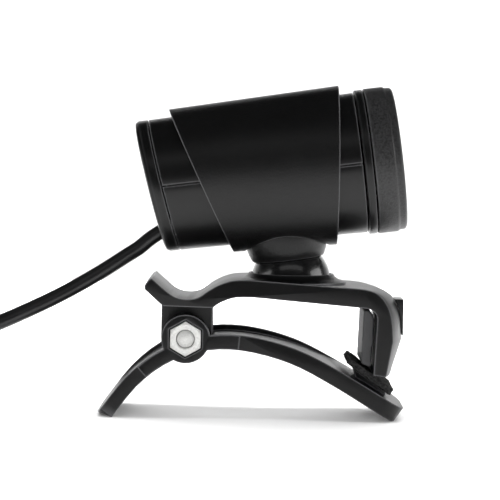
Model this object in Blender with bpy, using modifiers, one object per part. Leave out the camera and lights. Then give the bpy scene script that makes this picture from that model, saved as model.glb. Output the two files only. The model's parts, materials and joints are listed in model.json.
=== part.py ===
"""Webcam on a sprung clip stand. Lengths are in millimetres here; MM turns them into metres in the meshes.

The row frame has +X towards the lens, +Z up and its origin on the table under the middle of the stand.
The head frame starts at the tilt axis, with +X along the optical axis and +Z square to it.
"""
import math

import bmesh
import bpy
from mathutils import Matrix, Vector

MM = 0.001
GAP = 0.3  # clearance between pieces that touch
STEPS = 40  # facets round a large turned piece

# Joints
PIVOT = (-15.3, 18.4)  # clip hinge, X and Z
NECK_X = 8.9  # pan axis
TILT_Z = 31.5  # tilt axis, at the middle of the ball
HEAD_TILT = math.radians(7.8)  # the lens looks up by this much at rest
HEAD_Z = 25.8  # optical axis above the tilt axis, in the head frame

# Stand
HALF_WIDTH = 14.0
CHEEK = 0.5  # the pivot cheeks stand proud of the leg by this much
LEG_TOP = [(-35.7, 0.35), (-28.6, 9.6), (-21.1, 15.6), (-12.3, 19.0), (-2.1, 19.5), (9.7, 16.8), (20.4, 11.7), (35.75, 2.75)]
LEG_THICK = (3.2, 3.9)  # at the rear tip and at the front tip
CHANNEL_DEPTH = 1.4
RIM = 1.2  # width of the leg's edge rims beside the channel
BOSS_R = 5.6
KNUCKLE_R = 5.85
KNUCKLE_HALF = 9.0  # half width of the knuckle between the cheeks
EAR_INNER = 4.2  # the knuckle's ears leave this half width for the spring
NUT_AF = 7.0
NUT_T = 3.2
BOLT_R = 1.95
HOOK_CROWN = 2.8  # the hook's front bulges forward at its middle by this much
PAD_HALF = 10.5

# Neck
DOME_R = 9.3
BALL_R = 3.2
STUD_R = 1.6

# Head: distances along the optical axis and radii
TUBE = (-26.9, 19.2)
TUBE_R = (15.6, 16.5)
WALL = 1.4
SLEEVE = (-18.2, 13.9)  # where its oblique ends cross the optical axis
SLEEVE_R = (17.55, 18.55)
SLEEVE_SLOPES = (-0.324, 0.124)
REAR_SLOPE = -0.128
CAP_T = 3.1
CORD_DROP = 10.6  # the cord leaves the rear cap this far below the optical axis

# Cord
CORD_D = 3.5
COIL_CENTRE = (-97.5, 0.0)
COIL_R = (13.3, 23.8)
COIL_H = 14.0
LEAD = [(-22.9, 0, 42.1), (-24.6, 0, 40.6), (-26.9, 0, 38.6), (-29.9, -0.3, 36.6), (-35.6, -1.2, 32.8),
        (-41.6, -3.0, 29.2), (-47.2, -5.5, 26.2), (-52.9, -8.6, 23.5), (-58.1, -11.5, 21.2), (-64, -14.8, 18.8),
        (-70, -17.5, 16.6), (-76, -19.9, 14.5), (-80.6, -21.2, 13.1), (-84.2, -21.95, 12.4)]
TAIL = [(-75.45, -14.2, 1.8), (-75.45, -17.5, 1.8), (-76.1, -22.3, 1.9), (-78.0, -26.8, 2.5),
        (-81.0, -29.9, 3.3), (-84.4, -31.2, 3.9), (-87.1, -31.4, 4.0)]
PLUG_X = -87.4  # where the plug's strain relief starts; the plug points to -X
PLUG_Y = -31.4
PLUG_Z = 4.0

for old in list(bpy.data.objects):
    bpy.data.objects.remove(old)

parts = bpy.data.collections.new("webcam")
cutters = bpy.data.collections.new("cutters")
for group in (parts, cutters):
    bpy.context.scene.collection.children.link(group)


def material(name, colour, roughness, metallic=0.0):
    made = bpy.data.materials.new(name)
    made.use_nodes = True
    shader = made.node_tree.nodes["Principled BSDF"]
    shader.inputs["Base Color"].default_value = (*colour, 1)
    shader.inputs["Roughness"].default_value = roughness
    shader.inputs["Metallic"].default_value = metallic
    return made


BLACK = (0.02, 0.02, 0.022)
SOFT_TOUCH = material("soft_touch_black", BLACK, 0.6)
MATTE = material("matte_black", (0.025, 0.025, 0.027), 0.5)
GLOSS = material("gloss_black", (0.01, 0.01, 0.011), 0.12)
RUBBER = material("pad_rubber", (0.03, 0.03, 0.03), 0.9)
STEEL = material("zinc_steel", (0.7, 0.7, 0.68), 0.35, 1.0)
GLASS = material("lens_glass", (0.05, 0.06, 0.09), 0.03)
BOARD = material("green_board", (0.03, 0.16, 0.07), 0.5)
CHIP = material("chip_black", (0.03, 0.03, 0.03), 0.4)
CORD = material("cord_black", (0.02, 0.02, 0.02), 0.35)


def add(name, bm, look=None, parent=None, cutter=False):
    """A mesh object made from bm, in millimetres; cutters are kept out of sight."""
    bmesh.ops.scale(bm, vec=(MM, MM, MM), verts=bm.verts)
    bmesh.ops.recalc_face_normals(bm, faces=bm.faces)
    mesh = bpy.data.meshes.new(name)
    bm.to_mesh(mesh)
    bm.free()
    made = bpy.data.objects.new(name, mesh)
    (cutters if cutter else parts).objects.link(made)
    if cutter:
        made.hide_render = True
        made.display_type = "WIRE"
    else:
        mesh.materials.append(look)
    made.parent = parent
    return made


def place(made, at=(0, 0, 0), turn=(0, 0, 0)):
    made.location = Vector(at) * MM
    made.rotation_euler = turn
    return made


def empty(name, at, turn=(0, 0, 0), parent=None):
    made = bpy.data.objects.new(name, None)
    parts.objects.link(made)
    made.parent = parent
    made.hide_render = True
    return place(made, at, turn)


def cut(body, tool, way="DIFFERENCE"):
    step = body.modifiers.new(tool.name, "BOOLEAN")
    step.operation = way
    step.object = tool
    return body


def cylinder(radius, low, high, axis="Z", sides=STEPS, at=(0, 0)):
    """A bmesh cylinder from low to high along an axis; at is its place on the two other axes."""
    bm = bmesh.new()
    bmesh.ops.create_cone(bm, cap_ends=True, segments=sides, radius1=radius, radius2=radius, depth=high - low)
    middle = (low + high) / 2
    turns = {"X": Matrix.Rotation(math.pi / 2, 4, "Y"), "Y": Matrix.Rotation(-math.pi / 2, 4, "X"), "Z": Matrix()}
    places = {"X": (middle, at[0], at[1]), "Y": (at[0], middle, at[1]), "Z": (at[0], at[1], middle)}
    bmesh.ops.transform(bm, matrix=Matrix.Translation(places[axis]) @ turns[axis], verts=bm.verts)
    return bm


def block(low, high, bm=None):
    """A box between two corners, added to bm if one is given."""
    bm = bm or bmesh.new()
    made = bmesh.ops.create_cube(bm, size=1)["verts"]
    low, high = Vector(low), Vector(high)
    bmesh.ops.scale(bm, vec=high - low, verts=made)
    bmesh.ops.translate(bm, vec=(low + high) / 2, verts=made)
    return bm


def prism(outline, low, high):
    """An X-Z outline extruded along Y."""
    bm = bmesh.new()
    face = bm.faces.new([bm.verts.new((x, low, z)) for x, z in outline])
    grown = bmesh.ops.extrude_face_region(bm, geom=[face])["geom"]
    moved = [v for v in grown if isinstance(v, bmesh.types.BMVert)]
    bmesh.ops.translate(bm, vec=(0, high - low, 0), verts=moved)
    return bm


def loft(outlines):
    """A closed skin over X-Z outlines of equal length, given as (y, outline)."""
    bm = bmesh.new()
    rings = [[bm.verts.new((x, y, z)) for x, z in outline] for y, outline in outlines]
    for near, far in zip(rings, rings[1:]):
        for i in range(len(near)):
            j = (i + 1) % len(near)
            bm.faces.new((near[i], near[j], far[j], far[i]))
    bm.faces.new(rings[0])
    bm.faces.new(rings[-1])
    return bm


def turned(name, profile, look, parent=None, steps=STEPS, closed=True, cutter=False):
    """A (radius, height) profile turned about local Z with a Screw modifier. An open one ends on the axis."""
    mesh = bpy.data.meshes.new(name)
    count = len(profile)
    edges = [(i, (i + 1) % count) for i in range(count if closed else count - 1)]
    mesh.from_pydata([(r * MM, 0, h * MM) for r, h in profile], edges, [])
    made = bpy.data.objects.new(name, mesh)
    (cutters if cutter else parts).objects.link(made)
    made.hide_render = cutter
    if cutter:
        made.display_type = "WIRE"
    else:
        mesh.materials.append(look)
    made.parent = parent
    screw = made.modifiers.new("turn", "SCREW")
    screw.steps = screw.render_steps = steps
    screw.use_merge_vertices = True
    screw.merge_threshold = 0.00001
    screw.use_smooth_shade = False
    return made


def arc(centre, radius, start, end, count):
    """Points on an arc, from start to end degrees."""
    angles = [math.radians(start + (end - start) * i / (count - 1)) for i in range(count)]
    return [(centre[0] + radius * math.cos(a), centre[1] + radius * math.sin(a)) for a in angles]


def smooth(points, each):
    """A Catmull-Rom curve through the points, with each steps between two of them."""
    points = [Vector(p) for p in points]
    ends = [2 * points[0] - points[1], *points, 2 * points[-1] - points[-2]]
    curve = []
    for a, b, c, d in zip(ends, ends[1:], ends[2:], ends[3:]):
        for i in range(each):
            t = i / each
            curve.append(0.5 * (2 * b + (c - a) * t + (2 * a - 5 * b + 4 * c - d) * t * t
                                + (3 * b - a - 3 * c + d) * t ** 3))
    return [*curve, points[-1]]


def wire(name, points, diameter, look, parent=None):
    """A round wire or cord along points, as a capped tube."""
    curve = bpy.data.curves.new(name, "CURVE")
    curve.dimensions = "3D"
    curve.bevel_depth = diameter / 2 * MM
    curve.bevel_resolution = 2
    curve.use_fill_caps = True
    spline = curve.splines.new("POLY")
    spline.points.add(len(points) - 1)
    for slot, point in zip(spline.points, points):
        slot.co = (*(Vector(point) * MM), 1)
    curve.materials.append(look)
    made = bpy.data.objects.new(name, curve)
    parts.objects.link(made)
    made.parent = parent
    return made


def frozen(made):
    """Its modifiers applied, and its own place written into the mesh."""
    bpy.context.view_layer.update()
    mesh = bpy.data.meshes.new_from_object(made.evaluated_get(bpy.context.evaluated_depsgraph_get()))
    mesh.transform(made.matrix_basis)
    made.modifiers.clear()
    made.data = mesh
    made.matrix_basis = Matrix()
    return made


AXIAL = (0, math.pi / 2, 0)  # turns local Z to the optical axis
ON_AXIS = (0, 0, HEAD_Z)


def oblique(made, middle, rear_slope, front_slope):
    """Leans the ends of a tube round the optical axis: a point moves along X with its height over the axis."""
    place(made, ON_AXIS, AXIAL)
    frozen(made)
    for v in made.data.vertices:
        slope = rear_slope if v.co.x < middle * MM else front_slope
        v.co.x += slope * (v.co.z - HEAD_Z * MM)
    return made


# ---------------------------------------------------------------- frame
clip_axis = empty("clip_axis", (PIVOT[0], 0, PIVOT[1]))
jaw_frame = empty("jaw_frame", (-PIVOT[0], 0, -PIVOT[1]), parent=clip_axis)
pan_axis = empty("pan_axis", (NECK_X, 0, TILT_Z), parent=jaw_frame)
tilt_axis = empty("tilt_axis", (0, 0, 0), (0, -HEAD_TILT, 0), parent=pan_axis)
focus_axis = empty("focus_axis", (0, 0, HEAD_Z), parent=tilt_axis)


# ---------------------------------------------------------------- lower leg
def leg_line(trim_rear=0.0, trim_front=0.0, count=26):
    """The leg's upper edge as (point, normal, thickness) at even distances, shortened at its tips."""
    fine = smooth(LEG_TOP, 12)
    along = [0.0]
    for a, b in zip(fine, fine[1:]):
        along.append(along[-1] + (b - a).length)
    line = []
    for i in range(count):
        want = trim_rear + (along[-1] - trim_rear - trim_front) * i / (count - 1)
        k = min(max(j for j, s in enumerate(along) if s <= want), len(fine) - 2)
        a, b = fine[k], fine[k + 1]
        way = (b - a).normalized()
        share = want / along[-1]
        thick = LEG_THICK[0] + (LEG_THICK[1] - LEG_THICK[0]) * share
        line.append((a + way * (want - along[k]), Vector((-way.y, way.x)), thick))
    return line


def leg_outline(trim_rear, trim_front):
    """The leg's outline; its feet are cut flat where they would go below the table."""
    line = leg_line(trim_rear, trim_front)
    lower = [p - n * t for p, n, t in line][::-1]
    for tip, inner, at in ((lower[-1], lower[-2], len(lower) - 1), (lower[0], lower[1], 1)):
        share = inner.y / (inner.y - tip.y) if tip.y < 0 else 0.5
        lower.insert(at, inner.lerp(tip, share))
    return [(p.x, max(p.y, 0.0)) for p in [p for p, _, _ in line] + lower]


def tip_trim(y, corner, flat):
    """How far a rounded tip lies behind its middle at this y."""
    over = max(0.0, abs(y) - flat)
    return corner - math.sqrt(max(0.0, corner * corner - over * over * (corner / (HALF_WIDTH - flat)) ** 2))


def make_leg():
    stations = [-14, -13.7, -13, -11.8, -10, -7, 0, 7, 10, 11.8, 13, 13.7, 14]
    skins = []
    for y in stations:
        skins.append((y, leg_outline(tip_trim(y, 1.9, 4), tip_trim(y, 5.0, 7))))
    leg = add("lower_leg", loft(skins), MATTE)
    channel = [(p, n) for p, n, _ in leg_line(6.0, 17.0, 22)]
    floor = []
    for i, (p, n) in enumerate(channel):
        share = i / (len(channel) - 1)
        floor.append(p - n * CHANNEL_DEPTH * math.sin(math.pi * share) ** 0.6 if 0 < share < 1 else p + n * 0.05)
    roof = [p + n * 2.5 for p, n in channel]
    tool = add("channel_cut", prism([tuple(p) for p in floor + roof[::-1]], -HALF_WIDTH + RIM, HALF_WIDTH - RIM),
               cutter=True)
    cut(leg, tool)
    full = leg_line(count=40)
    inside = [q for q in full if -27.0 < q[0].x < -2.1]
    pad = [p - n * 0.15 for p, n, _ in inside] + [p - n * (t - 0.15) for p, n, t in inside][::-1]
    for side in (-1, 1):
        ends = sorted((side * (HALF_WIDTH - 0.7), side * (HALF_WIDTH + CHEEK)))
        cut(leg, add(f"cheek_{side}", prism([tuple(p) for p in pad], *ends), cutter=True), "UNION")
    reach = HALF_WIDTH + CHEEK
    cut(leg, add("boss", cylinder(BOSS_R, -reach, reach, "Y", 36, PIVOT), cutter=True), "UNION")
    window = cylinder(KNUCKLE_R + GAP, -KNUCKLE_HALF - GAP, KNUCKLE_HALF + GAP, "Y", 36, PIVOT)
    cut(leg, add("knuckle_window", window, cutter=True))
    cut(leg, add("bolt_bore", cylinder(BOLT_R + GAP, -20, 20, "Y", 20, PIVOT), cutter=True))
    for side in (-1, 1):
        ends = sorted((side * (reach - NUT_T - 0.2), side * (reach + 2)))
        hexagon = cylinder((NUT_AF / 2 + 0.35) / math.cos(math.pi / 6), *ends, "Y", 6, PIVOT)
        cut(leg, add(f"hex_pocket_{side}", hexagon, cutter=True))
    return leg


def make_leg_pad():
    """A foam block glued to the front foot; its rear end stands clear of the arch."""
    start, end = Vector((21.9, 13.2)), Vector((32.4, 5.7))
    way = (end - start).normalized()
    up = Vector((-way.y, way.x))
    corners = [start, end, end + up * 1.9, start + up * 1.7]
    add("leg_pad", prism([tuple(p) for p in corners], -PAD_HALF, PAD_HALF), RUBBER)
    under = [Vector((24.6, 9.2)), Vector((31.6, 4.6)), end - way * 0.7 - up * GAP, start + way * 2.6 - up * GAP]
    return prism([tuple(p) for p in under], -4, 4)


def hexagon_piece(name, side, face_y, thick, round_r=None):
    reach = sorted((face_y, face_y - side * thick))
    return add(name, cylinder(NUT_AF / 2 / math.cos(math.pi / 6), *reach, "Y", 6, PIVOT), STEEL)


leg = make_leg()
cut(leg, add("pad_seat", make_leg_pad(), cutter=True), "UNION")
outer = HALF_WIDTH + CHEEK
nut = hexagon_piece("hex_nut", -1, -outer - 0.05, NUT_T - 0.1)
cut(nut, add("nut_bore", cylinder(BOLT_R + 0.15, -20, 0, "Y", 20, PIVOT), cutter=True))
bolt = hexagon_piece("pivot_bolt", 1, outer, NUT_T - 0.3)
cut(bolt, add("bolt_shank", cylinder(BOLT_R, -outer + 0.1, outer - 1, "Y", 20, PIVOT), cutter=True), "UNION")
sleeve_ring = [(2.7, 3.9), (2.7, -3.9), (2.25, -3.9), (2.25, 3.9)]
place(turned("spring_sleeve", sleeve_ring, STEEL, steps=20), (PIVOT[0], 0, PIVOT[1]), (math.pi / 2, 0, 0))


def spring_points():
    """Five turns round the sleeve, one tang up inside the knuckle and one along the rear foot's channel."""
    turns, coil_r, pitch = 5, 3.4, 1.25
    steps = turns * 12
    points = [(PIVOT[0] + 3.4, -3.1, PIVOT[1] + 4.2), (PIVOT[0] + 3.4, -3.1, PIVOT[1] + 1.6)]
    for i in range(steps + 1):
        angle = -2 * math.pi * (turns - 0.62) * i / steps
        points.append((PIVOT[0] + coil_r * math.cos(angle), -3.1 + pitch * (turns - 0.1) * i / steps,
                       PIVOT[1] + coil_r * math.sin(angle)))
    return points


wire("torsion_spring", spring_points(), 0.8, STEEL)


# ---------------------------------------------------------------- upper jaw
def jaw_outline(y):
    """The jaw's outline; the front of the hook moves forward towards the middle of its width."""
    crown = HOOK_CROWN * (1 - (y / HALF_WIDTH) ** 2)
    top = smooth([(-23.4, 32.2), (-20.2, 29.5), (-17.9, 28.0), (-15.3, 27.5), (-12.6, 28.0), (-10.1, 29.7),
                  (-7.4, 31.2), (-4.4, 32.1), (-0.8, 32.3)], 3)
    front = smooth([(18.9, 31.1), (25.6, 30.7), (29.0, 29.5), (31.3, 26.5), (32.2, 22.8), (32.5, 18.7)], 3)
    bulge = [(x + crown * max(0.0, min(1.0, (x - 24) / 6)), z) for x, z in front]
    tip = [(31.1 + crown * 0.6, 10.6), (28.2, 10.9)]
    inner = [(28.8, 23.6), *arc((26.2, 23.7), 2.6, 5, 85, 5)]
    under = smooth([(25.4, 26.4), (7.9, 27.7), (1.6, 28.2), (-2.2, 28.3), (-4.8, 28.0), (-7.5, 26.9), (-9.2, 25.7)], 3)
    lever = [(-20.7, 25.9), (-24.9, 29.6), (-25.0, 30.6), (-24.1, 31.8)]
    return [*[tuple(p) for p in top], *bulge, *tip, *inner, *[tuple(p) for p in under], *lever]


def make_jaw():
    widths = [-14, -12, -9.5, -6.5, -3.2, 0, 3.2, 6.5, 9.5, 12, 14]
    jaw = add("upper_jaw", loft([(y, jaw_outline(y)) for y in widths]), MATTE, jaw_frame)
    recess = [(32.9, 28.3), (37.0, 28.3), (37.0, 19.0), (34.7, 19.0), (34.6, 22.1), (34.05, 25.1)]
    cut(jaw, add("badge_recess", prism(recess, -4.5 - GAP, 4.5 + GAP), parent=jaw_frame, cutter=True))
    x0, x1 = PIVOT[0] - KNUCKLE_R, PIVOT[0] + KNUCKLE_R + 0.15
    ear = [(x0, 27.5), (x0, PIVOT[1]), *arc(PIVOT, KNUCKLE_R, 190, 350, 9), (x1, PIVOT[1]), (x1, 27.5)]
    for side in (-1, 1):
        ends = sorted((side * EAR_INNER, side * KNUCKLE_HALF))
        cut(jaw, add(f"ear_{side}", prism(ear, *ends), parent=jaw_frame, cutter=True), "UNION")
    bore = cylinder(BOLT_R + 0.35, -12, 12, "Y", 20, PIVOT)
    cut(jaw, add("ear_bores", bore, parent=jaw_frame, cutter=True))
    flare = [(9.0, 33.3), (9.95, 33.3), (10.35, 32.7), (11.2, 32.1), (13.0, 31.6), (13.0, 30.0), (9.0, 30.0)]
    ring = turned("dome_seat", flare[1:] + flare[:1], None, jaw_frame, cutter=True)
    cut(jaw, place(ring, (NECK_X, 0, 0)), "UNION")
    at = (NECK_X, 0)
    for name, radius, low, high in (("dome_bore", DOME_R + GAP, TILT_Z - 0.3, 40), ("spigot_bore", 5.8, 20, 40),
                                    ("retainer_pocket", 7.0, 20, TILT_Z - 2.9)):
        cut(jaw, add(name, cylinder(radius, low, high, "Z", 36, at), parent=jaw_frame, cutter=True))
    return jaw


make_jaw()
pad_side = [(25.7, 25.6), (25.4, 13.2), (27.7, 12.3), (28.35, 23.4), (27.9, 24.8), (27.0, 25.6)]
add("hook_pad", prism(pad_side, -PAD_HALF, PAD_HALF), RUBBER, jaw_frame)
badge = [(33.3, 27.9), (35.35, 27.9), (35.42, 19.5), (35.05, 19.5), (34.95, 22.0), (34.4, 25.2)]
add("hook_badge", prism(badge, -4.5, 4.5), GLOSS, jaw_frame)


# ---------------------------------------------------------------- neck
def sphere_arc(radius, start, end, count):
    """(radius, height) points on a sphere, by angle from its top in degrees."""
    angles = [math.radians(start + (end - start) * i / (count - 1)) for i in range(count)]
    return [(radius * math.sin(a), radius * math.cos(a)) for a in angles]


dome = [*sphere_arc(DOME_R, 40, 90, 9), (5.5, 0), (5.5, -2.9), (1.96, -2.9), *sphere_arc(BALL_R + GAP, 146, 55, 8),
        (5.2, 7.0)]
turned("swivel_dome", dome, GLOSS, pan_axis)
retainer = turned("swivel_retainer", [(0, -3.2), (6.6, -3.2), (6.6, -3.9), (0, -3.9)], MATTE, pan_axis, closed=False)

stud = [(0, 16.0), (STUD_R, 16.0), (STUD_R, 2.8), *sphere_arc(BALL_R, 31, 180, 12)]
turned("ball_stud", stud, STEEL, tilt_axis, steps=20, closed=False)
collar = [(9.8, 14.0), (9.7, 9.5), (9.15, 7.0), (8.55, 5.6), (8.1, 5.2), *sphere_arc(DOME_R + GAP, 57, 22, 7),
          (STUD_R + GAP, 9.0), (STUD_R + GAP, 14.0)]
neck_collar = turned("neck_collar", collar, SOFT_TOUCH, tilt_axis)
saddle = add("tube_saddle", cylinder(16.9, -30, 30, "X", 64, (0, HEAD_Z)), parent=tilt_axis, cutter=True)
cut(neck_collar, saddle)
nut_ring = [(3.4, 15.0), (3.4, 12.2), (STUD_R + 0.5, 12.2), (STUD_R + 0.5, 15.0)]
turned("stud_nut", nut_ring, STEEL, tilt_axis, steps=6)


# ---------------------------------------------------------------- head
def radius_at(x, ends, radii):
    return radii[0] + (radii[1] - radii[0]) * (x - ends[0]) / (ends[1] - ends[0])


def tube_profile(ends, radii, wall):
    """The section of a conical tube as a closed (radius, height) loop, height being distance along the axis."""
    rear, front = ends
    return [(radii[1], front), (radii[0], rear), (radii[0] - wall, rear), (radii[1] - wall, front)]


def make_sleeve():
    inner = radius_at(SLEEVE[0], TUBE, TUBE_R) + GAP
    wall = SLEEVE_R[0] - inner
    sleeve = turned("outer_sleeve", tube_profile(SLEEVE, SLEEVE_R, wall), SOFT_TOUCH, tilt_axis, steps=56)
    oblique(sleeve, 0, *SLEEVE_SLOPES)
    hole = cylinder(10.2, -2, 14, "Z", 36)
    return cut(sleeve, add("neck_hole", hole, parent=tilt_axis, cutter=True))


def make_shell(name, side):
    """One half of the inner tube, cut at the height of the optical axis."""
    shell = turned(name, tube_profile(TUBE, TUBE_R, WALL), MATTE, tilt_axis, steps=48)
    oblique(shell, 0, REAR_SLOPE, 0)
    bm = bmesh.new()
    bm.from_mesh(shell.data)
    level = Vector((0, 0, HEAD_Z + side * GAP / 2)) * MM
    bmesh.ops.bisect_plane(bm, geom=[*bm.verts, *bm.edges, *bm.faces], plane_co=level, plane_no=(0, 0, side),
                           clear_inner=True)
    bmesh.ops.holes_fill(bm, edges=[e for e in bm.edges if e.is_boundary])
    bmesh.ops.recalc_face_normals(bm, faces=bm.faces)
    bm.to_mesh(shell.data)
    bm.free()
    return shell


make_sleeve()
make_shell("upper_shell", 1)
lower = make_shell("lower_shell", -1)
cut(lower, add("stud_hole", cylinder(STUD_R + GAP, 0, 20, "Z", 20), parent=tilt_axis, cutter=True))

back = TUBE[0] - GAP
cap_profile = [(0, back - CAP_T + 1.6), (12.6, back - 1.8), (12.6, back + 3.0), (13.8, back + 3.0), (13.8, back),
               (15.6, back), (15.6, back - 2.1), (15.2, back - 2.9), (14.2, back - CAP_T), (0, back - CAP_T)]
cap = turned("rear_cap", cap_profile, MATTE, tilt_axis, steps=48, closed=False)
oblique(cap, 0, REAR_SLOPE, 0)
cord_x = back - CAP_T - REAR_SLOPE * CORD_DROP
at_cord = (0, HEAD_Z - CORD_DROP)
cut(cap, add("cord_hole", cylinder(3.0, cord_x - 3, cord_x + 6, "X", 24, at_cord), parent=tilt_axis, cutter=True))
add("cord_grommet", cylinder(2.65, cord_x + 0.25, cord_x + 4.0, "X", 24, at_cord), RUBBER, tilt_axis)

axial = [
    ("trim_ring", [(17.0, 21.5), (17.0, 19.7), (16.6, 19.5), (13.4, 19.5), (13.4, 21.5)], MATTE, tilt_axis, 48),
    ("inner_frame", [(14.0, -1.4), (14.0, -4.6), (11.6, -4.6), (11.6, -1.4)], MATTE, tilt_axis, 32),
    ("focus_ring", [(16.2, 28.45), (16.7, 28.1), (16.75, 26.8), (17.1, 26.4), (17.1, 21.8), (14.3, 21.8),
                    (14.3, 26.4), (14.8, 28.45)], MATTE, focus_axis, 56),
    ("front_dish", [(14.0, 26.6), (14.0, 25.2), (8.0, 22.2), (6.6, 22.2), (6.6, 23.5), (7.9, 23.5)],
     GLOSS, focus_axis, 40),
    ("lens_barrel", [(6.3, 24.6), (6.3, 6.5), (3.4, 6.5), (3.4, 12.0), (4.9, 12.0), (4.9, 20.4), (5.6, 24.6)],
     MATTE, focus_axis, 32),
]
for name, profile, look, parent, steps in axial:
    piece = turned(name, profile, look, parent, steps)
    place(piece, ON_AXIS if parent is tilt_axis else (0, 0, 0), AXIAL)
foot_room = block((-6, -7, HEAD_Z - 16), (0, 7, HEAD_Z - 9.0))
cut(bpy.data.objects["inner_frame"], add("frame_foot_room", foot_room, parent=tilt_axis, cutter=True))


def lens(name, radius, rear, front, crown):
    """A lens with a flat back and a crowned front."""
    bow = (radius * radius + crown * crown) / (2 * crown)
    half = math.degrees(math.asin(radius / bow))
    face = [(r, h - bow + front) for r, h in sphere_arc(bow, 0, half, 5)]
    return turned(name, [*face, (radius, rear), (0, rear)], GLASS, focus_axis, 28, closed=False)


place(lens("front_lens", 4.6, 17.6, 22.0, 1.6), (0, 0, 0), AXIAL)
place(lens("rear_lens", 3.1, 7.5, 10.5, 0.7), (0, 0, 0), AXIAL)

holder = block((0.9, -8, HEAD_Z - 8), (4.6, 8, HEAD_Z + 8))
holder = add("lens_holder", holder, MATTE, tilt_axis)
cut(holder, add("holder_tube", cylinder(8.6, 4.0, 16.0, "X", 32, (0, HEAD_Z)), parent=tilt_axis, cutter=True), "UNION")
cut(holder, add("holder_bore", cylinder(6.6, 3.6, 17.0, "X", 32, (0, HEAD_Z)), parent=tilt_axis, cutter=True))
cavity = block((0.0, -6, HEAD_Z - 6), (3.8, 6, HEAD_Z + 6))
cut(holder, add("sensor_room", cavity, parent=tilt_axis, cutter=True))
add("image_sensor", block((0.9, -4.2, HEAD_Z - 4.2), (2.0, 4.2, HEAD_Z + 4.2)), CHIP, tilt_axis)
add("ir_filter", block((2.6, -5, HEAD_Z - 5), (3.2, 5, HEAD_Z + 5)), GLASS, tilt_axis)
add("main_board", block((-1.1, -11, HEAD_Z - 9.3), (0.5, 11, HEAD_Z + 9.3)), BOARD, tilt_axis)
add("controller_chip", block((-2.4, -4, HEAD_Z - 3), (-1.4, 4, HEAD_Z + 5)), CHIP, tilt_axis)
add("cord_header", block((-4.4, -4, HEAD_Z - 8.6), (-1.4, 4, HEAD_Z - 5.4)), MATTE, tilt_axis)
add("memory_chip", block((-2.2, -9.4, HEAD_Z - 2), (-1.4, -5.4, HEAD_Z + 2.5)), CHIP, tilt_axis)
add("microphone", cylinder(2.0, -3.8, -1.4, "X", 20, (6.7, HEAD_Z + 6.0)), STEEL, tilt_axis)
for name, y in (("board_screw_near", -9.7), ("board_screw_far", 9.7)):
    add(name, cylinder(1.2, 0.8, 1.8, "X", 16, (y, HEAD_Z)), STEEL, tilt_axis)


# ---------------------------------------------------------------- cord, coil and plug
def hold(made):
    """Rides on the head without moving."""
    bpy.context.view_layer.update()
    made.parent = tilt_axis
    made.matrix_parent_inverse = tilt_axis.matrix_world.inverted()
    return made


hold(wire("cord_lead", [tuple(p) for p in smooth(LEAD, 2)], CORD_D, CORD))
hold(wire("cord_tail", [tuple(p) for p in smooth(TAIL, 2)], CORD_D, CORD))
coil_ring = [(COIL_R[1], COIL_H), (COIL_R[1], 0), (COIL_R[0], 0), (COIL_R[0], COIL_H)]
coil = turned("cord_coil", coil_ring, CORD)
hold(place(coil, (*COIL_CENTRE, 0)))
tie_low, tie_high = COIL_R[0] - 1.1, COIL_R[1] + 1.1
tie = block((COIL_CENTRE[0] - tie_high, -3, 0.2), (COIL_CENTRE[0] - tie_low, 3, COIL_H + 1.1))
tie = add("coil_tie", tie, MATTE)
gap_ring = [(COIL_R[1] + GAP, COIL_H + GAP), (COIL_R[1] + GAP, -1), (COIL_R[0] - GAP, -1), (COIL_R[0] - GAP, COIL_H + GAP)]
cut(tie, place(turned("tie_room", gap_ring, None, cutter=True), (*COIL_CENTRE, 0)))
hold(tie)


def plug_box(name, x0, x1, half_width, half_height, look):
    return hold(add(name, block((x0, PLUG_Y - half_width, PLUG_Z - half_height),
                                (x1, PLUG_Y + half_width, PLUG_Z + half_height)), look))


body = add("plug_body", block((PLUG_X - 24.0, PLUG_Y - 7.2, 0.0), (PLUG_X - 5.0, PLUG_Y + 7.2, 8.0)), MATTE)
bevel = body.modifiers.new("round", "BEVEL")
bevel.width = 1.2 * MM
bevel.segments = 2
neck = turned("plug_relief", [(0, 0), (2.3, 0), (3.3, -7.0), (0, -7.0)], None, closed=False, steps=20, cutter=True)
place(neck, (PLUG_X, PLUG_Y, PLUG_Z), (0, math.pi / 2, 0))
cut(body, neck, "UNION")
hold(body)
shell_low, shell_high = PLUG_X - 24.0 - GAP - 12.0, PLUG_X - 24.0 - GAP
shell = plug_box("plug_shell", shell_low, shell_high, 6.0, 2.25, STEEL)
mouth = block((shell_low - 1, PLUG_Y - 5.65, PLUG_Z - 1.9), (shell_high - 1, PLUG_Y + 5.65, PLUG_Z + 1.9))
cut(shell, add("shell_mouth", mouth, cutter=True))
plug_box("plug_tongue", shell_low + 0.5, shell_high - 1 - GAP, 5.2, 0.9, MATTE)
bpy.data.objects["plug_tongue"].location.z -= 0.6 * MM

for piece in parts.objects:
    if piece.type == "MESH":
        piece.data.shade_smooth()
        piece.data.set_sharp_from_angle(angle=math.radians(35))
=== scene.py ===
"""Looks of the webcam on its clip stand: camera, cord, materials, fine pieces, floor and lights.

Lengths are in millimetres, in the row frame, and MM turns them into metres in the meshes. Only what is
inside a material, its grain, bump depths and edge widths, is in metres. The head frame starts at the tilt
axis, with +X along the optical axis and +Z square to it.
"""
import json
import math

import bmesh
import bpy
from mathutils import Matrix, Vector
from mathutils import noise as field


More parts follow.
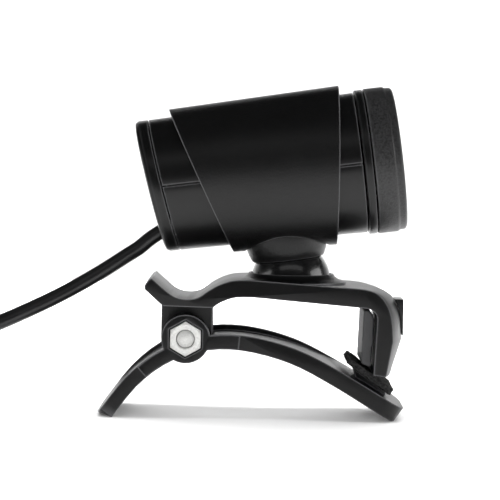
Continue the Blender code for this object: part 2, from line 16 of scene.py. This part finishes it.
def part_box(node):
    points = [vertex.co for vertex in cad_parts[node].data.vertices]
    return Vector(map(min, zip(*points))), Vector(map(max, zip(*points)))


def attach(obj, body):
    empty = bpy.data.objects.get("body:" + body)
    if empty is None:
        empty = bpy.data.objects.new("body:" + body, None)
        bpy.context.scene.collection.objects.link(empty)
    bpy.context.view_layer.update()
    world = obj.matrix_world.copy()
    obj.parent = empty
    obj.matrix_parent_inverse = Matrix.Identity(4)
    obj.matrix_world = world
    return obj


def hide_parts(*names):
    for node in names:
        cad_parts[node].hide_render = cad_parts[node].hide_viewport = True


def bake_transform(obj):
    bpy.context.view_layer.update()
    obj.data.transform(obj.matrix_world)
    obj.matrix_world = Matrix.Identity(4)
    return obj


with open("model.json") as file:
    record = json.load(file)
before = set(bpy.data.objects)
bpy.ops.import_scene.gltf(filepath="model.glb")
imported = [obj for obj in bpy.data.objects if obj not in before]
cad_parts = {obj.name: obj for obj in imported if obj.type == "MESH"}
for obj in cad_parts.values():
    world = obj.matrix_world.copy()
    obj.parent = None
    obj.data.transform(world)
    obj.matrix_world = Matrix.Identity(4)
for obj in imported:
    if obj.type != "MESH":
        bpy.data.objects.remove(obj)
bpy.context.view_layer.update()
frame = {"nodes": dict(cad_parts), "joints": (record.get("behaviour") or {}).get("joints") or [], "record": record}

MM = 0.001
NODES = frame["nodes"]
JOINTS = {joint["name"]: joint for joint in frame["joints"]}
TILT = Vector(JOINTS["tilt"]["pos_m"]) / MM
OPTICAL = Vector(JOINTS["focus_turn"]["axis"])
HEAD_TILT = math.asin(OPTICAL.z)
HEAD_Z = (Vector(JOINTS["focus_turn"]["pos_m"]) / MM - TILT).length
PIVOT = Vector(JOINTS["clip_hinge"]["pos_m"]) / MM
TO_HEAD = Matrix.Translation(TILT) @ Matrix.Rotation(-HEAD_TILT, 4, "Y")
TO_OPTICS = TO_HEAD @ Matrix.Translation((0, 0, HEAD_Z)) @ Matrix.Rotation(math.pi / 2, 4, "Y")


def box(node):
    """A CAD node's lowest and highest corners, in millimetres."""
    low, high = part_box(node)
    return low / MM, high / MM


# ---------------------------------------------------------------- camera
def make_camera():
    """A long lens, almost level with the webcam, which it sees from its right."""
    distance, half_view = 520, 59
    lift, roll = math.radians(3), math.radians(1.26)
    target = Vector((-0.9, 0, 38.5))
    place = target + Vector((0, -math.cos(lift), math.sin(lift))) * distance
    data = bpy.data.cameras.new("camera")
    data.angle = 2 * math.atan(half_view / distance)
    data.clip_end = 20
    made = bpy.data.objects.new("camera", data)
    bpy.context.scene.collection.objects.link(made)
    aim = (target - place).to_track_quat("-Z", "Y").to_matrix().to_4x4()
    made.matrix_world = Matrix.Translation(place * MM) @ aim @ Matrix.Rotation(roll, 4, "Z")
    bpy.context.scene.camera = made


make_camera()


# ---------------------------------------------------------------- mesh tools
def finished(name, bm, look, body, replaced=(), smooth=40):
    """An object from bm, which is in millimetres; it rides on a body and can stand for CAD nodes."""
    bmesh.ops.scale(bm, vec=(MM, MM, MM), verts=bm.verts)
    bmesh.ops.recalc_face_normals(bm, faces=bm.faces)
    mesh = bpy.data.meshes.new(name)
    bm.to_mesh(mesh)
    bm.free()
    mesh.shade_smooth()
    mesh.set_sharp_from_angle(angle=math.radians(smooth))
    mesh.materials.append(look)
    made = bpy.data.objects.new(name, mesh)
    bpy.context.scene.collection.objects.link(made)
    if body:
        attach(made, body)
    if replaced:
        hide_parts(*replaced)
    return made


def skin(bm, rings, closed_loop=False):
    """Faces between rings of points, each ring closed on itself, and over both ends or back to the start."""
    made = [[bm.verts.new(p) for p in ring] for ring in rings]
    pairs = list(zip(made, made[1:]))
    if closed_loop:
        pairs.append((made[-1], made[0]))
    for a, b in pairs:
        for i in range(len(a)):
            j = (i + 1) % len(a)
            bm.faces.new((a[i], a[j], b[j], b[i]))
    if not closed_loop:
        bm.faces.new(made[0][::-1])
        bm.faces.new(made[-1])
    return bm


def turned(profile, steps, to, bm=None):
    """A closed (radius, height) profile turned about Z and moved by a matrix."""
    bm = bm or bmesh.new()
    rings = []
    for k in range(steps):
        angle = 2 * math.pi * k / steps
        rings.append([to @ Vector((r * math.cos(angle), r * math.sin(angle), h)) for r, h in profile])
    return skin(bm, rings, closed_loop=True)


def smooth_line(points, each):
    """A Catmull-Rom curve through the points, with each steps between two of them."""
    points = [Vector(p) for p in points]
    ends = [2 * points[0] - points[1], *points, 2 * points[-1] - points[-2]]
    curve = []
    for a, b, c, d in zip(ends, ends[1:], ends[2:], ends[3:]):
        for i in range(each):
            t = i / each
            curve.append(0.5 * (2 * b + (c - a) * t + (2 * a - 5 * b + 4 * c - d) * t * t
                                + (3 * b - a - 3 * c + d) * t ** 3))
    return [*curve, points[-1]]


def even(points, step):
    """The same line, cut at even distances of about step."""
    along = [0.0]
    for a, b in zip(points, points[1:]):
        along.append(along[-1] + (b - a).length)
    count = max(2, round(along[-1] / step))
    line, k = [], 0
    for i in range(count + 1):
        want = along[-1] * i / count
        while k < len(points) - 2 and along[k + 1] < want:
            k += 1
        share = (want - along[k]) / max(along[k + 1] - along[k], 1e-9)
        line.append(points[k].lerp(points[k + 1], share))
    return line


def sweep(points, radius, sides):
    """A round tube whose centreline is the points."""
    rings, across = [], None
    for i, point in enumerate(points):
        way = (points[min(i + 1, len(points) - 1)] - points[max(i - 1, 0)]).normalized()
        if across is None:
            across = way.orthogonal()
        across = (across - way * across.dot(way)).normalized()
        up = way.cross(across)
        ring = []
        for k in range(sides):
            angle = 2 * math.pi * k / sides
            ring.append(point + (across * math.cos(angle) + up * math.sin(angle)) * radius)
        rings.append(ring)
    return skin(bmesh.new(), rings)


def rounded_box(low, high, radius, steps, bm=None):
    """A box with rounded edges, added to bm where there is one."""
    own = bmesh.new()
    cube = bmesh.ops.create_cube(own, size=1)["verts"]
    low, high = Vector(low), Vector(high)
    bmesh.ops.scale(own, vec=high - low, verts=cube)
    bmesh.ops.translate(own, vec=(low + high) / 2, verts=cube)
    bmesh.ops.bevel(own, geom=own.edges[:], offset=radius, segments=steps, affect="EDGES", profile=0.5)
    if bm is None:
        return own
    merge(bm, own)
    return bm


def merge(bm, other):
    """Adds other's faces to bm, and frees other."""
    mesh = bpy.data.meshes.new("merged")
    other.to_mesh(mesh)
    other.free()
    bm.from_mesh(mesh)
    bpy.data.meshes.remove(mesh)


# ---------------------------------------------------------------- materials
def base(name, colour, roughness, metallic=0.0, specular=0.5):
    """A new material with one Principled shader, its node tree and that shader."""
    made = bpy.data.materials.new(name)
    made.use_nodes = True
    shader = made.node_tree.nodes["Principled BSDF"]
    shader.inputs["Base Color"].default_value = (*colour, 1)
    shader.inputs["Roughness"].default_value = roughness
    shader.inputs["Metallic"].default_value = metallic
    shader.inputs["Specular IOR Level"].default_value = specular
    return made, made.node_tree, shader


def node(tree, kind, **values):
    """A shader node with its named inputs set."""
    made = tree.nodes.new(kind)
    for name, value in values.items():
        made.inputs[name.replace("_", " ")].default_value = value
    return made


def noise(tree, scale, detail=2.0):
    """Noise in the piece's own coordinates; scale is in features per metre."""
    where = tree.nodes.new("ShaderNodeTexCoord")
    made = node(tree, "ShaderNodeTexNoise", Scale=scale, Detail=detail)
    tree.links.new(where.outputs["Object"], made.inputs["Vector"])
    return made


def ramp(tree, source, low, high):
    """A colour ramp from low to high, over the middle of the source's range."""
    made = tree.nodes.new("ShaderNodeValToRGB")
    made.color_ramp.elements[0].position = 0.3
    made.color_ramp.elements[1].position = 0.7
    made.color_ramp.elements[0].color = (*low, 1)
    made.color_ramp.elements[1].color = (*high, 1)
    tree.links.new(source, made.inputs["Fac"])
    return made.outputs["Color"]


def bumped(tree, shader, height, strength, distance, under=None):
    """Bumps from a height, on top of the bumps under it where there are some."""
    made = node(tree, "ShaderNodeBump", Strength=strength, Distance=distance)
    tree.links.new(height, made.inputs["Height"])
    if under:
        tree.links.new(under, made.inputs["Normal"])
    tree.links.new(made.outputs["Normal"], shader.inputs["Normal"])
    return made.outputs["Normal"]


def worn_and_highlit_edges(tree, colour, worn):
    """The colour, paler along edges, where a rounded normal differs from the flat one: partly polish from wear,
    partly a painted highlight for the thin bright edge lines.
    """
    flat_from, pale_edge_from = 0.985, 0.85
    bevel = node(tree, "ShaderNodeBevel", Radius=0.0005)
    bevel.samples = 6
    flat = tree.nodes.new("ShaderNodeNewGeometry")
    turn = tree.nodes.new("ShaderNodeVectorMath")
    turn.operation = "DOT_PRODUCT"
    tree.links.new(bevel.outputs["Normal"], turn.inputs[0])
    tree.links.new(flat.outputs["True Normal"], turn.inputs[1])
    edge = tree.nodes.new("ShaderNodeMapRange")
    edge.inputs["From Min"].default_value = flat_from
    edge.inputs["From Max"].default_value = pale_edge_from
    tree.links.new(turn.outputs["Value"], edge.inputs["Value"])
    mix = tree.nodes.new("ShaderNodeMix")
    mix.data_type = "RGBA"
    mix.inputs["B"].default_value = (*worn, 1)
    tree.links.new(edge.outputs["Result"], mix.inputs["Factor"])
    tree.links.new(colour, mix.inputs["A"])
    return mix.outputs["Result"]


def moulded(name, colour, roughness, grain, strength, depth=0.00004, specular=0.5, coat=0.0, worn=None):
    """Moulded plastic: a fine grain, slow changes of colour and gloss, and paler edges, partly wear and partly a
    painted highlight.
    """
    made, tree, shader = base(name, colour, roughness, specular=specular)
    shader.inputs["Coat Weight"].default_value = coat
    shader.inputs["Coat Roughness"].default_value = 0.08
    slow = noise(tree, 90, 3)
    paler = tuple(c * 1.35 for c in colour)
    shade = ramp(tree, slow.outputs["Fac"], colour, paler)
    # worn is the pale edge colour: partly wear, partly a painted edge highlight.
    if worn:
        shade = worn_and_highlit_edges(tree, shade, worn)
    tree.links.new(shade, shader.inputs["Base Color"])
    rough = tree.nodes.new("ShaderNodeMapRange")
    rough.inputs["To Min"].default_value = roughness * 0.92
    rough.inputs["To Max"].default_value = roughness * 1.1
    tree.links.new(slow.outputs["Fac"], rough.inputs["Value"])
    tree.links.new(rough.outputs["Result"], shader.inputs["Roughness"])
    bumped(tree, shader, noise(tree, grain, 2).outputs["Fac"], strength, depth)
    return made


def stippled(worn):
    """The focus ring: a coarse spark-eroded texture for the fingers, and paler at its lips, partly polish and
    partly a painted highlight.
    """
    made, tree, shader = base("stippled_ring", (0.006, 0.006, 0.0062), 0.45)
    where = tree.nodes.new("ShaderNodeTexCoord")
    cells = node(tree, "ShaderNodeTexVoronoi", Scale=2600.0)
    cells.feature = "SMOOTH_F1"
    tree.links.new(where.outputs["Object"], cells.inputs["Vector"])
    shade = ramp(tree, cells.outputs["Distance"], (0.014, 0.014, 0.0145), (0.004, 0.004, 0.0041))
    # The pale lips are partly polish and partly a painted highlight.
    tree.links.new(worn_and_highlit_edges(tree, shade, worn), shader.inputs["Base Color"])
    first = bumped(tree, shader, cells.outputs["Distance"], 0.5, 0.0001)
    bumped(tree, shader, noise(tree, 6000).outputs["Fac"], 0.25, 0.00005, first)
    return made


def steel(name, colour, roughness, rings_at=None, metallic=1.0):
    """Plated metal with fine scratches, and turning marks round a point where one is given."""
    made, tree, shader = base(name, colour, roughness, metallic)
    fine = noise(tree, 2500, 4)
    darker = tuple(c * 0.78 for c in colour)
    tree.links.new(ramp(tree, fine.outputs["Fac"], darker, colour), shader.inputs["Base Color"])
    first = bumped(tree, shader, fine.outputs["Fac"], 0.25, 0.00003)
    if rings_at is not None:
        where = tree.nodes.new("ShaderNodeTexCoord")
        shift = tree.nodes.new("ShaderNodeVectorMath")
        shift.operation = "SUBTRACT"
        shift.inputs[1].default_value = rings_at * MM
        tree.links.new(where.outputs["Object"], shift.inputs[0])
        wave = node(tree, "ShaderNodeTexWave", Scale=900.0, Distortion=0.6, Detail=2.0)
        wave.wave_type = "RINGS"
        wave.rings_direction = "Y"
        tree.links.new(shift.outputs["Vector"], wave.inputs["Vector"])
        bumped(tree, shader, wave.outputs["Fac"], 0.35, 0.00004, first)
    return made


def foam():
    """Closed-cell foam rubber: dull, with open cells at its cut faces."""
    made, tree, shader = base("foam_rubber", (0.012, 0.012, 0.012), 0.95, specular=0.2)
    cells = noise(tree, 2200, 5)
    shade = ramp(tree, cells.outputs["Fac"], (0.004, 0.004, 0.004), (0.03, 0.03, 0.03))
    tree.links.new(shade, shader.inputs["Base Color"])
    bumped(tree, shader, cells.outputs["Fac"], 0.9, 0.0004)
    return made


def glass(name, colour, tint):
    """Coated lens glass, shown as a deep glossy body with a coloured coating."""
    made, tree, shader = base(name, colour, 0.03)
    shader.inputs["Coat Weight"].default_value = 1.0
    shader.inputs["Coat Roughness"].default_value = 0.02
    shader.inputs["Coat Tint"].default_value = (*tint, 1)
    slow = noise(tree, 120, 1)
    paler = tuple(c * 1.6 for c in colour)
    tree.links.new(ramp(tree, slow.outputs["Fac"], colour, paler), shader.inputs["Base Color"])
    return made


def board_green():
    """Solder mask over copper tracks."""
    made, tree, shader = base("solder_mask", (0.01, 0.1, 0.04), 0.3)
    where = tree.nodes.new("ShaderNodeTexCoord")
    bricks = node(tree, "ShaderNodeTexBrick", Scale=500.0)
    bricks.inputs["Color1"].default_value = (0.01, 0.1, 0.04, 1)
    bricks.inputs["Color2"].default_value = (0.012, 0.13, 0.05, 1)
    bricks.inputs["Mortar"].default_value = (0.03, 0.2, 0.08, 1)
    tree.links.new(where.outputs["Object"], bricks.inputs["Vector"])
    tree.links.new(bricks.outputs["Color"], shader.inputs["Base Color"])
    return made


# Pale edge colour: partly wear, partly a painted highlight standing in for bright edge lines.
EDGE_WEAR_AND_HIGHLIGHT = (0.075, 0.075, 0.078)
SOFT_TOUCH = moulded("soft_touch", (0.0014, 0.0014, 0.0015), 0.4, 2200, 0.8, 0.00007, 0.4, worn=EDGE_WEAR_AND_HIGHLIGHT)
TUBE = moulded("satin_shell", (0.0014, 0.0014, 0.0015), 0.34, 5200, 0.2, specular=0.4, worn=EDGE_WEAR_AND_HIGHLIGHT)
STAND = moulded("stand_plastic", (0.0016, 0.0016, 0.0017), 0.36, 5200, 0.3, specular=0.3, worn=EDGE_WEAR_AND_HIGHLIGHT)
GLOSS = moulded("gloss_black", (0.002, 0.002, 0.0021), 0.26, 900, 0.03, coat=0.5)
BADGE = moulded("badge_black", (0.003, 0.003, 0.003), 0.3, 3000, 0.05)
# The ring's pale lips: partly polish, partly a painted highlight.
RING = stippled((0.12, 0.12, 0.124))
PAD = moulded("pad_plate", (0.03, 0.03, 0.031), 0.6, 3000, 0.3)
FOAM = foam()
NUT = steel("nut_steel", (0.56, 0.56, 0.545), 0.38, rings_at=PIVOT, metallic=0.35)
STEEL = steel("bright_steel", (0.68, 0.68, 0.67), 0.3)
GOLD = steel("contact_gold", (0.8, 0.58, 0.22), 0.25)
LENS = glass("coated_glass", (0.008, 0.01, 0.02), (0.55, 0.6, 1.0))
BOARD = board_green()
CHIP = moulded("chip_epoxy", (0.015, 0.015, 0.016), 0.5, 4000, 0.2)
CORD = moulded("cord_pvc", (0.004, 0.004, 0.0042), 0.3, 1500, 0.08)


# ---------------------------------------------------------------- cord
CORD_D = 3.5
CORD_EXIT = (-28.7, 0, HEAD_Z - 10.6)
LEAD = [(-24.6, 0, 40.6), (-26.9, 0, 38.6), (-29.9, -0.3, 36.6), (-35.6, -1.2, 32.8),
        (-41.6, -3.0, 29.2), (-47.2, -5.5, 26.2), (-52.9, -8.6, 23.5), (-58.1, -11.5, 21.2),
        (-64, -14.8, 18.8), (-70, -17.5, 16.6), (-76, -19.9, 14.5), (-80.6, -21.2, 13.1),
        (-84.2, -21.95, 12.4)]
TAIL = [(-75.45, -14.2, 1.8), (-75.45, -17.5, 1.8), (-76.1, -22.3, 1.9), (-78.0, -26.8, 2.5),
        (-81.0, -29.9, 3.3), (-84.4, -31.2, 3.9), (-87.1, -31.4, 4.0)]


def coil_line():
    """Nearly twelve turns, three side by side in each of four layers, wound down from the top outside.

    A turn steps to its neighbour's place near its end, and sooner where it also drops to the next layer.
    """
    low, high = box("cord_coil")
    centre = (low + high) / 2
    outer = (high.x - low.x) / 2 - CORD_D / 2
    slots = []
    for layer in range(4):
        columns = range(3) if layer % 2 == 0 else range(2, -1, -1)
        slots += [(outer - CORD_D * column, high.z - CORD_D * (layer + 0.5)) for column in columns]
    line = []
    steps, last_turn = 48, 0.75
    for i, (radius, z) in enumerate(slots):
        new_radius, new_z = slots[min(i + 1, len(slots) - 1)]
        corner = new_z != z
        start, end = (0.74, 0.86) if corner else (0.84, 0.99)
        for k in range(steps):
            turn = k / steps
            if i == len(slots) - 1 and turn > last_turn:
                break
            share = min(1.0, max(0.0, (turn - start) / (end - start)))
            share = share * share * (3 - 2 * share)
            r = radius + (new_radius - radius) * share
            angle = -math.pi / 2 - 2 * math.pi * turn
            line.append(Vector((centre.x + r * math.cos(angle), centre.y + r * math.sin(angle),
                                z + (new_z - z) * share)))
    return line


def make_cord(with_pieces):
    """The whole lead as one tube: from the rear cap's grommet, round the coil, to the plug."""
    exit_point = TO_HEAD @ Vector(CORD_EXIT)
    start = smooth_line([exit_point, *LEAD], 8)
    coil = coil_line()
    start = smooth_line([*start[::4], coil[1], coil[3]], 4)[:-4]
    in_plug = Vector(TAIL[-1]) - Vector((2.0, 0, 0))
    end = smooth_line([coil[-2], coil[-1], *TAIL, in_plug], 5)[5:]
    step, sides = 1.4, 14
    line = even([*start, *coil[2:-1], *end], step)
    cord = finished("cord", sweep(line, CORD_D / 2, sides), CORD, None,
                    ("cord_lead", "cord_coil", "cord_tail"), 80)
    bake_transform(cord)


def make_plug():
    """A USB-A plug: ribbed overmould with a strain relief, folded case, and a tongue with four contacts."""
    low, high = box("plug_body")
    case_low, case_high = box("plug_shell")
    mid_y, mid_z = (low.y + high.y) / 2, (case_low.z + case_high.z) / 2
    relief_length, foot = 6.8, -0.4
    back = high.x - relief_length
    mould = rounded_box((low.x, low.y, low.z), (back, high.y, high.z), 1.4, 4)
    grip_step, grip_inset, grip_wide, grip_deep = 2.2, 1.8, 0.6, 0.25
    for k in range(4):
        x = back - 3 - grip_step * k
        for side in (-1, 1):
            y = mid_y + side * ((high.y - low.y) / 2 - 0.2)
            rounded_box((x - grip_wide, y - grip_deep, low.z + grip_inset),
                        (x + grip_wide, y + grip_deep, high.z - grip_inset), 0.22, 2, mould)
    tip, bore, sides = 7.2, CORD_D / 2 + 0.1, 28
    relief = [(2.0, tip), (2.35, 6.9), (2.6, 4.6), (3.2, 0.6), (3.2, foot), (bore, foot), (bore, tip)]
    along = Matrix.Translation((back, mid_y, mid_z)) @ Matrix.Rotation(math.pi / 2, 4, "Y")
    turned(relief, sides, along, mould)
    rib_half, rib_root = 0.35, 0.5
    for k in range(3):
        h = 1.6 + 1.7 * k
        r = 3.15 - 0.13 * h
        out, root, low_h, high_h = r + rib_half, r - rib_root, h - rib_half, h + rib_half
        turned([(out, low_h), (out, high_h), (root, high_h), (root, low_h)], sides, along, mould)
    mould = finished("plug_mould", mould, CORD, "swivel", ["plug_body"])

    bm = bmesh.new()
    wall = 0.35
    outer = rounded_outline(case_low.y, case_high.y, case_low.z, case_high.z, 0.5)
    inner = rounded_outline(case_low.y + wall, case_high.y - wall,
                            case_low.z + wall, case_high.z - wall, 0.3)
    rings = [[Vector((x, y, z)) for y, z in outline] for x, outline in (
        (case_high.x, outer), (case_low.x + 0.15, outer), (case_low.x, inner), (case_high.x - 1, inner))]
    skin(bm, rings)
    case = finished("plug_case", bm, STEEL, "swivel", ["plug_shell"])
    # Dark patches laid on the case where its latch holes are: painted shade standing in for the openings.
    hole_shade_patches = bmesh.new()
    window_start, window_end = case_low.x + 5.1, case_low.x + 7.3
    window_off, proud, thin = 2.9, 0.02, 0.03
    for side in (-1, 1):
        y = mid_y + side * window_off
        for z in (case_high.z + proud, case_low.z - proud):
            rounded_box((window_start, y - 1.0, z - thin), (window_end, y + 1.0, z + thin), 0.02, 1, hole_shade_patches)
    finished("plug_window_shade", hole_shade_patches, CHIP, "swivel")

    low, high = box("plug_tongue")
    tongue = rounded_box(low, high, 0.25, 2)
    tongue = finished("plug_tongue_block", tongue, TUBE, "swivel", ["plug_tongue"])
    contacts = bmesh.new()
    pitch = 2.25
    for k in range(4):
        y = mid_y + (k - 1.5) * pitch
        tip = low.x + (1.0 if k in (0, 3) else 2.0)
        rounded_box((tip, y - 0.5, high.z - 0.05), (high.x - 0.5, y + 0.5, high.z + 0.1), 0.05, 1, contacts)
    contacts = finished("plug_contacts", contacts, GOLD, "swivel")
    return [mould, case, tongue, contacts]


def rounded_outline(y0, y1, z0, z1, r):
    """A rounded rectangle as (y, z) points."""
    points, each = [], 4
    centres = ((y1 - r, z1 - r), (y0 + r, z1 - r), (y0 + r, z0 + r), (y1 - r, z0 + r))
    for corner, (y, z) in enumerate(centres):
        for k in range(each + 1):
            angle = math.radians(90 * corner + 90 * k / each)
            points.append((y + r * math.cos(angle), z + r * math.sin(angle)))
    return points


def make_tie():
    """The band that holds the coil's turns: up inside the coil, over its top and down outside it."""
    low, high = box("coil_tie")
    coil_low, coil_high = box("cord_coil")
    clear, bend, foot = 0.65, 0.9, 0.4
    x0, x1 = coil_low.x - clear, coil_low.x + CORD_D * 3 + clear
    under, over = coil_high.z - 0.6, coil_high.z + 0.6
    mid = (low.y + high.y) / 2
    path = [(x1, foot), (x1, under), (x1 - bend, over), (x0 + bend, over), (x0, under), (x0, foot)]
    line = smooth_line([(x, mid, z) for x, z in path], 6)
    section = ((-2.6, -0.3), (-2.8, 0), (-2.6, 0.3), (2.6, 0.3), (2.8, 0), (2.6, -0.3))
    rings = []
    for i, point in enumerate(line):
        way = (line[min(i + 1, len(line) - 1)] - line[max(i - 1, 0)]).normalized()
        out = Vector((0, 1, 0)).cross(way)
        rings.append([point + Vector((0, y, 0)) + out * h for y, h in section])
    return finished("tie_band", skin(bmesh.new(), rings), STAND, "swivel", ["coil_tie"])


make_cord([*make_plug(), make_tie()])


# ---------------------------------------------------------------- CAD nodes that stay
LOOKS = {
    "soft_touch": SOFT_TOUCH, "matte_shell": TUBE, "gloss_trim": GLOSS, "pad_foam": PAD, "steel": STEEL,
    "glass": LENS, "circuit": BOARD, "cord": CORD}
OWN_LOOKS = {
    "lower_leg": STAND, "upper_jaw": STAND, "focus_ring": RING, "hook_badge": BADGE, "controller_chip": CHIP,
    "memory_chip": CHIP, "image_sensor": CHIP, "pivot_bolt": NUT}
EDGES = {"lower_leg": 0.35, "upper_jaw": 0.4, "outer_sleeve": 0.35, "rear_cap": 0.25, "trim_ring": 0.2,
         "upper_shell": 0.12, "lower_shell": 0.12, "neck_collar": 0.25, "focus_ring": 0.25,
         "swivel_dome": 0.2, "hook_badge": 0.08, "front_dish": 0.2, "lens_barrel": 0.1}


def dress(name, slot):
    """A CAD node keeps its shape, and gets its material, soft edges and even shading."""
    made = NODES[name]
    made.data.materials.clear()
    made.data.materials.append(OWN_LOOKS.get(name, LOOKS[slot]))
    for layer in ("custom_normal", "sharp_face"):
        if layer in made.data.attributes:
            made.data.attributes.remove(made.data.attributes[layer])
    weld = made.modifiers.new("weld", "WELD")
    weld.merge_threshold = 0.005 * MM
    if name in EDGES:
        bevel = made.modifiers.new("soft_edges", "BEVEL")
        bevel.width = EDGES[name] * MM
        bevel.segments = 3
        bevel.limit_method = "ANGLE"
        bevel.angle_limit = math.radians(38)
        bevel.miter_outer = "MITER_ARC"
    made.data.shade_smooth()
    made.data.set_sharp_from_angle(angle=math.radians(34))


for piece in frame["record"]["subparts"]:
    dress(piece["node"], piece["material_slot"])


def foam_block(name, cad_name, look, body, rough, grain):
    """A cut block of foam in its CAD solid's space: worn corners, and faces pitted by open cells.

    The pits are up to about rough deep, and grain apart.
    """
    voxel = 0.35
    source = NODES[cad_name]
    mesh = source.data.copy()
    mesh.transform(source.matrix_world)
    draft = bpy.data.objects.new("draft_" + name, mesh)
    bpy.context.scene.collection.objects.link(draft)
    remesh = draft.modifiers.new("even", "REMESH")
    remesh.mode = "VOXEL"
    remesh.voxel_size = voxel * MM
    worn = draft.modifiers.new("worn", "SMOOTH")
    worn.factor = 0.5
    worn.iterations = 3
    graph = bpy.context.evaluated_depsgraph_get()
    done = bpy.data.meshes.new_from_object(draft.evaluated_get(graph))
    bm = bmesh.new()
    bm.from_mesh(done)
    bpy.data.objects.remove(draft)
    bpy.data.meshes.remove(done)
    bmesh.ops.scale(bm, vec=Vector((1, 1, 1)) / MM, verts=bm.verts)
    bm.normal_update()
    for vert in bm.verts:
        coarse = field.noise(vert.co / grain)
        fine = field.noise(vert.co / grain * 3.1)
        depth = 0.35 + 0.5 * coarse + 0.45 * fine
        vert.co -= vert.normal * rough * max(0.0, depth)
    finished(name, bm, look, body, [cad_name], 180)


foam_block("foot_foam", "leg_pad", FOAM, "stand", 0.5, 1.6)
foam_block("hook_foam", "hook_pad", PAD, "jaw", 0.12, 1.1)


def make_nut():
    """The hinge's hexagon nut, with the turned chamfer that leaves a round face, and a bevelled bore."""
    low, high = box("hex_nut")
    bore, lip, lip_depth = 2.12, 0.3, 0.25
    face, flat, chamfer = 3.3, 3.5, math.radians(30)
    plain = NODES["hex_nut"]
    spokes = [(plain.matrix_world @ vert.co).xz / MM - PIVOT.xz for vert in plain.data.vertices]
    corner = max(spokes, key=lambda spoke: spoke.length)
    start = math.atan2(corner.y, corner.x)
    steps = 96
    rings = [[] for _ in range(6)]
    for k in range(steps):
        turn = 2 * math.pi * k / steps
        reach = flat / math.cos(turn % (math.pi / 3) - math.pi / 6)
        drop = (reach - face) * math.tan(chamfer)
        section = ((bore, high.y), (reach, high.y), (reach, low.y + drop),
                   (face, low.y), (bore + lip, low.y), (bore, low.y + lip_depth))
        for ring, (r, y) in zip(rings, section):
            angle = start + turn
            ring.append(Vector((PIVOT.x + r * math.cos(angle), y, PIVOT.z + r * math.sin(angle))))
    bm = skin(bmesh.new(), rings, closed_loop=True)
    finished("chamfered_nut", bm, NUT, "stand", ["hex_nut"], 20)


make_nut()


def make_seam_liner():
    """The tongue behind the joint of the two half shells, so that the joint is a shallow groove."""
    rear, front, below, wall = -26.0, 19.0, 0.22, 0.6
    rear_r, front_r = 15.618 - below, 16.5 - below
    profile = [(front_r, front), (rear_r, rear), (rear_r - wall, rear), (front_r - wall, front)]
    finished("seam_liner", turned(profile, 96, TO_OPTICS), TUBE, "head")


make_seam_liner()


# ---------------------------------------------------------------- floor and light
def area_light(name, at, size, radiance, aim=(0, 0, 40), glossy=True):
    """A soft light of an even radiance. One that isn't glossy gives light without a reflection of itself."""
    data = bpy.data.lights.new(name, "AREA")
    data.shape = "RECTANGLE"
    data.size, data.size_y = (side * MM for side in size)
    data.energy = radiance * math.pi * data.size * data.size_y
    made = bpy.data.objects.new(name, data)
    bpy.context.scene.collection.objects.link(made)
    made.visible_glossy = glossy
    place = Vector(at) * MM
    turn = (Vector(aim) * MM - place).to_track_quat("-Z", "Y").to_matrix().to_4x4()
    made.matrix_world = Matrix.Translation(place) @ turn


def make_stage():
    """A white table that sweeps up behind the webcam, with a small gap under the feet."""
    front, bend_start, bend_r, top, half_width, gap = -420, 500, 250, 420, 1300, 0.05
    profile = [(front, 0), (bend_start, 0)]
    for degrees in range(9, 91, 9):
        angle = math.radians(degrees)
        profile.append((bend_start + bend_r * math.sin(angle), bend_r - bend_r * math.cos(angle)))
    profile.append((bend_start + bend_r, top))
    bm = bmesh.new()
    rows = [[bm.verts.new((x, y, z - gap)) for x in (-half_width, half_width)] for y, z in profile]
    for a, b in zip(rows, rows[1:]):
        bm.faces.new((a[0], a[1], b[1], b[0]))
    white, whiter = (0.9, 0.9, 0.9), (0.915, 0.915, 0.915)
    look, tree, shader = base("white_sweep", white, 0.75, specular=0.2)
    shade = ramp(tree, noise(tree, 8, 2).outputs["Fac"], white, whiter)
    tree.links.new(shade, shader.inputs["Base Color"])
    finished("sweep", bm, look, None)


def make_lights():
    """A pale room that gives little light, four big lights without reflections, and three with them."""
    world = bpy.data.worlds.new("studio")
    bpy.context.scene.world = world
    world.use_nodes = True
    room = world.node_tree.nodes["Background"]
    room.inputs["Color"].default_value = (1, 1, 1, 1)
    seen = world.node_tree.nodes.new("ShaderNodeLightPath")
    strength = world.node_tree.nodes.new("ShaderNodeMapRange")
    strength.inputs["To Min"].default_value = 0.02
    strength.inputs["To Max"].default_value = 0.95
    world.node_tree.links.new(seen.outputs["Is Camera Ray"], strength.inputs["Value"])
    world.node_tree.links.new(strength.outputs["Result"], room.inputs["Strength"])
    area_light("top_box", (0, 60, 620), (900, 500), 3.2, glossy=False)
    area_light("wall_box", (0, 250, 900), (1300, 300), 4.6, (0, 750, 150), glossy=False)
    area_light("front_fill", (0, -600, 130), (900, 260), 6.5, (0, 0, 10), glossy=False)
    area_light("rear_fill", (0, 420, 130), (900, 240), 6.0, (0, 0, 10), glossy=False)
    area_light("front_strip", (0, -420, 420), (700, 130), 0.7)
    area_light("left_box", (-560, -40, 150), (420, 300), 2.0)
    area_light("right_box", (560, -60, 150), (420, 300), 3.2)


make_stage()
make_lights()
bpy.context.scene.view_settings.view_transform = "Standard"
